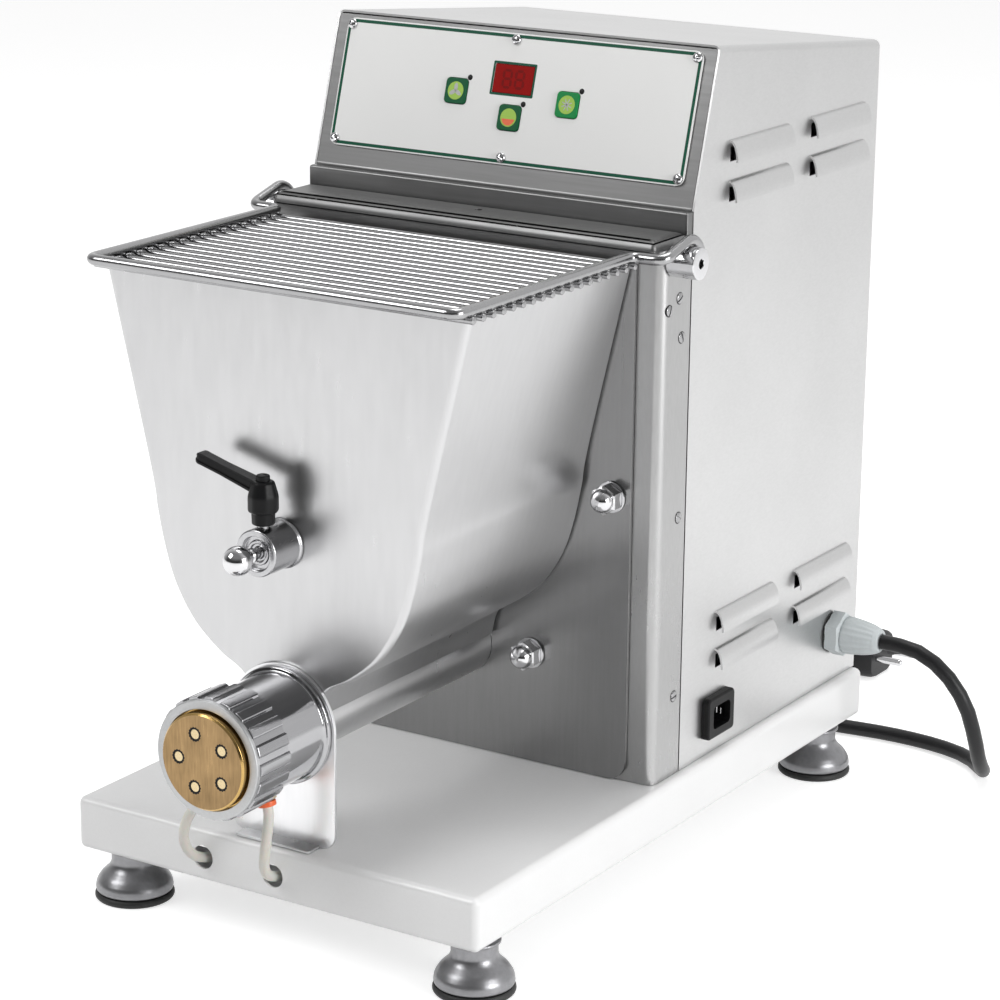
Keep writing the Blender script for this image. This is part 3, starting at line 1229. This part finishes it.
def auger():
    """The screw in the barrel, with a plain shank to its drive."""
    axis = empty("auger_axis", at=(0, 0, AXIS_Z), parent=MACHINE)
    end = HOPPER_REAR_Y - GAP
    nose = HEAD_STEP_Y
    profile = [(0, nose), (AUGER_CORE, nose), (AUGER_CORE, AUGER_TAIL_Y),
               (AUGER_SHANK_RADIUS, AUGER_TAIL_Y), (AUGER_SHANK_RADIUS, end), (0, end)]
    screw = turned_front("auger", profile, COARSE, 0, 0, steel(), parent=axis)
    length = AUGER_TAIL_Y - nose - 2 * AUGER_FLIGHT
    flight = helical_flight(AUGER_ROOT_SHARE * AUGER_CORE, AUGER_RADIUS, AUGER_FLIGHT,
                            AUGER_FLIGHT - AUGER_TAIL_Y, length, AUGER_PITCH, AUGER_RINGS)
    join(screw, place("auger_flight", flight, turn=FACING_FRONT, parent=axis))


# Drive.
def drive_shafts():
    """The auger's and the mixer's drive shafts, each with its belt pulley."""
    start = PLATE_Y
    near, far = PULLEY_Y, PULLEY_Y + PULLEY_WIDTH
    auger_end = GEARBOX_FRONT_Y + GEARBOX_POCKET - GAP
    for name, radius, pulley, end, z in (
            ("auger_drive", SHAFT_RADIUS, DRIVE_PULLEY, auger_end, AXIS_Z),
            ("mixer_drive", MIXER_RADIUS, MIXER_PULLEY, far + PULLEY_WIDTH / 2, MIXER_Z)):
        profile = [(0, start), (radius, start), (radius, near), (pulley, near), (pulley, far),
                   (radius, far), (radius, end), (0, end)]
        turned_front(name, profile, MEDIUM, 0, z, steel())


def bearings():
    """Flange bearings behind the front plate."""
    front, rear = PLATE_BACK_Y + GAP, PLATE_BACK_Y + GAP + BEARING_WIDTH
    body, flange = BEARING_SHARES[0] * BEARING_RADIUS, front + BEARING_SHARES[1] * BEARING_WIDTH
    for name, shaft, z in (("auger_bearing", SHAFT_RADIUS, AXIS_Z), ("mixer_bearing", MIXER_RADIUS, MIXER_Z)):
        bore = shaft + GAP
        profile = [(BEARING_RADIUS, front), (BEARING_RADIUS, flange), (body, flange), (body, rear),
                   (bore, rear), (bore, front)]
        turned_front(name, profile, MEDIUM, 0, z, cast_grey())


def belt_loop(small, large, distance, steps):
    """A loop round two pulleys, the small one at the origin and the large above."""
    tilt = math.degrees(math.asin((large - small) / distance))
    lower = arc((0, 0), small, 180 + tilt, 360 - tilt, steps)
    upper = arc((0, distance), large, -tilt, 180 + tilt, steps)
    return lower + upper


def drive_belt():
    distance = MIXER_Z - AXIS_Z
    inner = belt_loop(DRIVE_PULLEY + BELT_FIT, MIXER_PULLEY + BELT_FIT, distance, BELT_STEPS)
    thick = BELT_FIT + BELT_THICK
    outer = belt_loop(DRIVE_PULLEY + thick, MIXER_PULLEY + thick, distance, BELT_STEPS)
    mesh = plate_mesh("drive_belt", [outer, inner], PULLEY_WIDTH - 2 * GAP)
    place("drive_belt", mesh, rubber(), at=(0, PULLEY_Y + PULLEY_WIDTH / 2, AXIS_Z), turn=FACING_FRONT)


def gearbox_case():
    """The reduction gearbox, standing on the tray, bored for both its shafts."""
    low = (-GEARBOX_HALF_X, GEARBOX_FRONT_Y, GAP)
    high = (GEARBOX_HALF_X, GEARBOX_REAR_Y, GEARBOX_TOP_Z)
    case = place("gearbox_case", box_mesh("gearbox_case", low, high), cast_grey())
    bevel(case, GEARBOX_EDGE, 2)
    for name, radius, y in (("output_room", SHAFT_RADIUS, GEARBOX_FRONT_Y),
                            ("input_room", ROTOR_SHAFT, GEARBOX_REAR_Y)):
        hole = round_mesh(name, radius + RUN_FIT, -GEARBOX_POCKET, GEARBOX_POCKET, MEDIUM)
        cut(case, place(name, hole, at=(0, y, AXIS_Z), turn=FACING_FRONT))


def motor():
    """The motor's can with its end shields, and the rotor with its fan."""
    front = GEARBOX_REAR_Y + GAP
    rear = MOTOR_REAR_Y - ROTOR_FAN - 2 * ROTOR_FIT
    bore, shaft_room = MOTOR_RADIUS - MOTOR_WALL, ROTOR_SHAFT + RUN_FIT
    shield = MOTOR_SHIELD_SHARE * (rear - front)
    inner_front, inner_rear = front + shield, rear - shield
    can = [(MOTOR_RADIUS, front), (MOTOR_RADIUS, rear), (shaft_room, rear),
           (shaft_room, inner_rear), (bore, inner_rear), (bore, inner_front),
           (shaft_room, inner_front), (shaft_room, front)]
    turned_front("motor_body", can, 20, 0, AXIS_Z, cast_grey())
    drum = bore - ROTOR_FIT
    drum_front, drum_rear = inner_front + 2 * ROTOR_FIT, inner_rear - 2 * ROTOR_FIT
    start = GEARBOX_REAR_Y - GEARBOX_POCKET + GAP
    fan = rear + 2 * ROTOR_FIT
    rotor = [(0, start), (ROTOR_SHAFT, start), (ROTOR_SHAFT, drum_front), (drum, drum_front),
             (drum, drum_rear), (ROTOR_SHAFT, drum_rear), (ROTOR_SHAFT, fan),
             (ROTOR_FAN_RADIUS, fan), (ROTOR_FAN_RADIUS, fan + ROTOR_FAN), (0, fan + ROTOR_FAN)]
    turned_front("motor_rotor", rotor, MEDIUM, 0, AXIS_Z, dark_steel())


# Guard grille, its bosses and the safety switch.
GUARD_AXIS = empty("guard_axis", at=(0, HINGE_Y, HINGE_Z), parent=MACHINE)


def round_corners(points, radius, steps=2):
    """Ease each corner of a path with a short curve."""
    path = [Vector(points[0])]
    for before, corner, after in zip(points, points[1:], points[2:]):
        before, corner, after = Vector(before), Vector(corner), Vector(after)
        back, ahead = before - corner, after - corner
        reach = min(radius, back.length / 2.2, ahead.length / 2.2)
        start = corner + back.normalized() * reach
        end = corner + ahead.normalized() * reach
        for t in np.linspace(0, 1, steps + 1):
            path.append(start * (1 - t) ** 2 + corner * (2 * t * (1 - t)) + end * t ** 2)
    path.append(Vector(points[-1]))
    return path


def guard_grille():
    """A bent rod frame that hooks over both bosses, with bars welded below it."""
    ring = BOSS_RADIUS + GUARD_ROD + GAP
    hook = [(y - HINGE_Y, z - HINGE_Z) for y, z in
            arc((HINGE_Y, HINGE_Z), ring, math.degrees(GUARD_HOOK_END), 100, 6)]
    jog, front, up = GUARD_JOG_Y - HINGE_Y, GUARD_FRONT_Y - HINGE_Y, GUARD_Z - HINGE_Z
    bend = 2 * GUARD_ROD
    half = [(GUARD_ARM_X, y, z) for y, z in hook]
    corners = [half[-1], (GUARD_ARM_X, jog, up), (GUARD_HALF_X, jog, up), (GUARD_HALF_X, front, up)]
    right = half[:-1] + [tuple(p) for p in round_corners(corners + [(0, front, up)], bend)][:-1]
    left = [(-x, y, z) for x, y, z in right[::-1]]
    frame = tube_mesh("guard_grille", right + left, GUARD_ROD, 1)
    grille = place("guard_grille", frame, steel(), parent=GUARD_AXIS)
    work = bmesh.new()
    height = GUARD_BAR_Z - HINGE_Z
    reach = GUARD_HALF_X + GUARD_BAR_OVER
    for y in np.linspace(front + GUARD_BAR_START, jog - GUARD_BAR, GUARD_BARS):
        first = len(work.verts)
        add_round(work, GUARD_BAR, -reach, reach, 6)
        work.verts.ensure_lookup_table()
        turn = Matrix.Translation((0, y, height)) @ Matrix.Rotation(math.pi / 2, 4, "Y")
        bmesh.ops.transform(work, matrix=turn, verts=work.verts[first:])
    join(grille, place("grille_bars", mesh_from(work, "grille_bars"), parent=GUARD_AXIS))


def hinge_bosses():
    """Bosses outside the casing that turn with the grille."""
    end, rim, shaft = BOSS_LENGTH, BOSS_RIM_SHARE * BOSS_RADIUS, BOSS_SHAFT
    floor = end - BOSS_SOCKET_DEPTH
    profile = [(0, floor), (BOSS_SOCKET, floor), (BOSS_SOCKET, end), (BOSS_RADIUS - rim, end),
               (BOSS_RADIUS, end - rim), (BOSS_RADIUS, 0), (shaft, 0),
               (shaft, -BOSS_SHAFT_REACH), (0, -BOSS_SHAFT_REACH)]
    for name, side, turn in (("hinge_boss_left", -1, FACING_LEFT), ("hinge_boss_right", 1, FACING_RIGHT)):
        spot = (side * (CASE_HALF + GAP), 0, 0)
        turned(name, profile, MEDIUM, chrome(), at=spot, turn=turn, parent=GUARD_AXIS)


def safety_switch():
    """The switch that the right boss works, on the back of its column."""
    wide, deep, tall = SWITCH_SIZE
    right = CASE_HALF - BOSS_SHAFT_REACH - GAP
    front, top = FRAME_FRONT_Y + 2 * SHEET + GAP, HINGE_Z + BOSS_SHAFT
    box = box_mesh("safety_switch", (right - wide, front, top - tall), (right, front + deep, top))
    place("safety_switch", box, black_plastic())


# Cooling hoses.
def hose_fittings():
    """Hexagon fittings screwed into the head, each with a collar on its hose."""
    orange = finish("collar_orange", (0.75, 0.13, 0.03), 0.4)
    seat = -HEAD_RADIUS - GAP
    for side, turn in zip(("left", "right"), FITTING_TURNS):
        where = {"at": (0, FITTING_Y, AXIS_Z), "turn": (0, turn, 0)}
        name = "hose_fitting_" + side
        body = hex_mesh(name, FITTING_FLATS, seat - FITTING_HEX, seat)
        fitting = place(name, body, steel(), **where)
        shank = round_mesh("shank_" + name, FITTING_SHANK_RADIUS, seat - FITTING_HEX / 2,
                           FITTING_SHANK - HEAD_RADIUS, COARSE)
        join(fitting, place("shank_" + name, shank, **where))
    top = seat - FITTING_HEX - GAP
    profile = [(0, top), (COLLAR_RADIUS, top), (COLLAR_RADIUS, top - COLLAR_LENGTH), (0, top - COLLAR_LENGTH)]
    turned("hose_collar_right", profile, COARSE, orange, **where)


def hoses():
    """Clear hoses from the head, through the tray's front, to the barbs behind."""
    clear = finish("clear_hose", (0.78, 0.78, 0.72), 0.3)
    end = BASE_DEPTH - BASE_WALL - BARB_SHANK - GAP
    level = HOSE_HOLE_Z
    for side, turn, x_barb, route in zip(("left", "right"), FITTING_TURNS, BARB_XS, HOSE_ROUTES):
        skipped = COLLAR_LENGTH + GAP if side == "right" else 0
        start = HEAD_RADIUS + GAP + FITTING_HEX + GAP + skipped
        down = Vector((-math.sin(turn), 0, -math.cos(turn)))
        head = Vector((0, FITTING_Y, AXIS_Z))
        points = [head + down * start, head + down * (start + HOSE_RADIUS)]
        points += [Vector(point) for point in route]
        points += [Vector((x_barb, end - back * BARB_SHANK, level)) for back in (3, 1, 0)]
        line, _ = smooth_path(points, HOSE_STEP)
        name = "hose_" + side
        place(name, tube_mesh(name, line, HOSE_RADIUS, 2), clear)


def rear_barbs():
    """Hose tails through the tray's back wall."""
    inside = BASE_DEPTH - BASE_WALL - BARB_SHANK
    hex_start = BASE_DEPTH + GAP
    tail = hex_start + BARB_HEX
    rib = (BARB_LENGTH - GAP) / BARB_RIBS
    core = BARB_CORE_SHARE * BARB_RADIUS
    profile = [(0, inside), (BARB_RADIUS, inside), (BARB_RADIUS, tail)]
    for index in range(BARB_RIBS):
        crest = tail + (index + BARB_CREST_SHARE) * rib
        profile += [(BARB_RADIUS, crest), (core, tail + (index + 1) * rib)]
    profile += [(0, tail + BARB_RIBS * rib)]
    for side, x in zip(("left", "right"), BARB_XS):
        name = "rear_barb_" + side
        barb = turned_front(name, profile, COARSE, x, HOSE_HOLE_Z, brass())
        flats = hex_mesh("flats_" + name, BARB_FLATS, -tail, -hex_start)
        join(barb, place("flats_" + name, flats, at=(x, 0, HOSE_HOLE_Z), turn=FACING_FRONT))


# Mains side: outlet, gland, cord, coil and plug.
def outlet_body(room, beyond=0.0):
    """Corners of the outlet's body inside the casing."""
    rim = OUTLET_RIM - room
    low = (CASE_HALF - OUTLET_BODY, OUTLET_Y[0] + rim, OUTLET_Z[0] + rim)
    high = (CASE_HALF + GAP + OUTLET_FLANGE / 2 + beyond, OUTLET_Y[1] - rim, OUTLET_Z[1] - rim)
    return low, high


def outlet():
    """A panel socket: flange outside, body inside, well for the connector."""
    near, far = CASE_HALF + GAP, CASE_HALF + GAP + OUTLET_FLANGE
    (y0, y1), (z0, z1) = OUTLET_Y, OUTLET_Z
    flange = place("outlet", box_mesh("outlet", (near, y0, z0), (far, y1, z1)), black_plastic())
    bevel(flange, OUTLET_CORNER, 2)
    join(flange, place("outlet_body", box_mesh("outlet_body", *outlet_body(0))))
    rim = OUTLET_WELL_RIM
    low, high = (far - OUTLET_WELL, y0 + rim, z0 + rim), (far + OVERRUN, y1 - rim, z1 - rim)
    well = box_mesh("outlet_well", low, high)
    cut(flange, place("outlet_well", well))


def cable_gland():
    """The strain relief: a hexagon body with a domed clamping nut."""
    spot = (CASE_HALF + GAP, GLAND_Y, GLAND_Z)
    top = GLAND_HEX + GLAND_DOME
    profile = [(0, top), (GLAND_NECK_RADIUS, top)]
    profile += [(GLAND_DOME_RADIUS * r, GLAND_HEX + GLAND_DOME * h) for r, h in GLAND_SHARES[::-1]]
    profile += [(GLAND_DOME_RADIUS, GLAND_HEX), (GLAND_DOME_RADIUS, 0), (GLAND_SHANK_RADIUS, 0),
                (GLAND_SHANK_RADIUS, -GLAND_SHANK), (0, -GLAND_SHANK)]
    grey = finish("gland_grey", (0.52, 0.55, 0.56), 0.45)
    gland = turned("cable_gland", profile, MEDIUM, grey, at=spot, turn=FACING_RIGHT)
    flats = hex_mesh("gland_flats", GLAND_FLATS, GAP, GLAND_HEX)
    join(gland, place("gland_flats", flats, at=spot, turn=FACING_RIGHT))


def cord_route():
    """The free cord's points in machine coordinates, from the gland to the coil."""
    start = (GLAND_END_X + GAP, GLAND_Y, GLAND_Z)
    cx, cy = COIL_CENTRE
    floor = CORD_FLOOR_Z
    return [start, (start[0] + 2 * CORD_RADIUS, GLAND_Y, GLAND_Z)] + [
        (0.1850, 0.4030, 0.0280), (0.2010, 0.4040, 0.0170), (0.2120, 0.4070, 0.0000),
        (0.2160, 0.4130, -0.0200), (0.2150, 0.4240, -0.0390), (0.2110, 0.4400, -0.0510),
        (0.2020, 0.4580, floor), (0.1860, 0.4720, floor), (0.1620, 0.4800, floor),
        (0.1300, 0.4820, floor), (0.0950, 0.4780, floor), (0.0600, 0.4730, floor),
        (0.0250, 0.4700, floor),
    ] + [(cx + 2 * CORD_RADIUS + GAP, cy - COIL_RADIUS, floor)]


def coil_route():
    """Turns that spiral in on the floor, climb, and spiral out above."""
    cx, cy = COIL_CENTRE
    step = 2 * CORD_RADIUS + COIL_GAP
    total = 2 * COIL_TURNS_IN + COIL_TURNS_CLIMB
    count = int(round(total * COIL_TURN_POINTS))
    turn = np.linspace(0, total, count + 1)
    inward = np.minimum(turn, COIL_TURNS_IN)
    outward = np.maximum(turn - COIL_TURNS_IN - COIL_TURNS_CLIMB, 0)
    climb = np.clip((turn - COIL_TURNS_IN) / COIL_TURNS_CLIMB, 0, 1)
    radius = COIL_RADIUS - step * inward + step * outward - COIL_DIP * np.sin(math.pi * climb)
    height = CORD_FLOOR_Z + COIL_LAYER * (1 - np.cos(math.pi * climb)) / 2
    angle = -math.pi / 2 - 2 * math.pi * turn
    points = np.stack([cx + radius * np.cos(angle), cy + radius * np.sin(angle), height], axis=1)
    first = points[0] + (2 * CORD_RADIUS, 0, 0)
    last = points[-1] + (PLUG_LEAD, 0, 0)
    return np.concatenate([[first], points, [last]])


def least_gap(points, radius):
    """The smallest gap between parts of a tube that lie over a turn's tenth apart."""
    fine = np.concatenate([np.linspace(a, b, 6, endpoint=False) for a, b in zip(points, points[1:])])
    apart = np.linalg.norm(fine[:, None] - fine[None], axis=2)
    steps = np.abs(np.arange(len(fine))[:, None] - np.arange(len(fine))[None])
    apart[steps < 6 * COIL_TURN_POINTS // 3] = np.inf
    return apart.min() - 2 * radius


def mains_cord():
    line, length = smooth_path(cord_route(), CORD_STEP)
    place("mains_cord", tube_mesh("mains_cord", line, CORD_RADIUS, 2), rubber())
    coil = coil_route()
    place("cord_coil", tube_mesh("cord_coil", coil, CORD_RADIUS, 1), rubber())
    wound = np.linalg.norm(np.diff(coil, axis=0), axis=1).sum()
    print(f"free cord {length:.3f} m, coil {wound:.3f} m, total {length + wound:.3f} m")
    print(f"least gap in the coil {least_gap(coil, CORD_RADIUS) * 1000:.2f} mm")
    return coil[-1]


def mains_plug(start):
    """A moulded two-pin plug lying on the floor at the coil's end."""
    x0 = start[0] + GAP
    y, z = start[1], start[2]
    neck_end = x0 + PLUG_NECK
    end = neck_end + PLUG_LENGTH
    half = PLUG_WIDTH / 2
    body = box_mesh("mains_plug", (neck_end, -half, -PLUG_HEIGHT / 2), (end, half, PLUG_HEIGHT / 2))
    plug = place("mains_plug", body, rubber(), at=(0, y, z))
    bevel(plug, PLUG_EDGE, 3)
    neck = round_mesh("plug_neck", PLUG_NECK_RADIUS, x0, neck_end + PLUG_EDGE, COARSE)
    join(plug, place("plug_neck", neck, at=(0, y, z), turn=FACING_RIGHT))
    for index, spread in enumerate((-PLUG_PIN_SPREAD, PLUG_PIN_SPREAD)):
        pin = round_mesh("plug_pin", PLUG_PIN_RADIUS, end - PLUG_EDGE, end + PLUG_PIN_LENGTH, COARSE)
        join(plug, place(f"plug_pin_{index}", pin, at=(0, y + spread, z), turn=FACING_RIGHT))


def build():
    base_tray()
    feet()
    front_frame()
    front_plate()
    dome_nuts()
    housing_cover()
    rear_panel()
    shelf()
    control_fascia()
    control_plate()
    display_window()
    buttons()
    control_board()
    hopper()
    extrusion_barrel()
    support_stand()
    die_head()
    die_body()
    ring_nut()
    pin_hub()
    pull_pin()
    clamp_lever()
    mixing_shaft()
    auger()
    drive_shafts()
    bearings()
    drive_belt()
    gearbox_case()
    motor()
    guard_grille()
    hinge_bosses()
    safety_switch()
    hose_fittings()
    hoses()
    rear_barbs()
    outlet()
    cable_gland()
    mains_plug(mains_cord())


build()
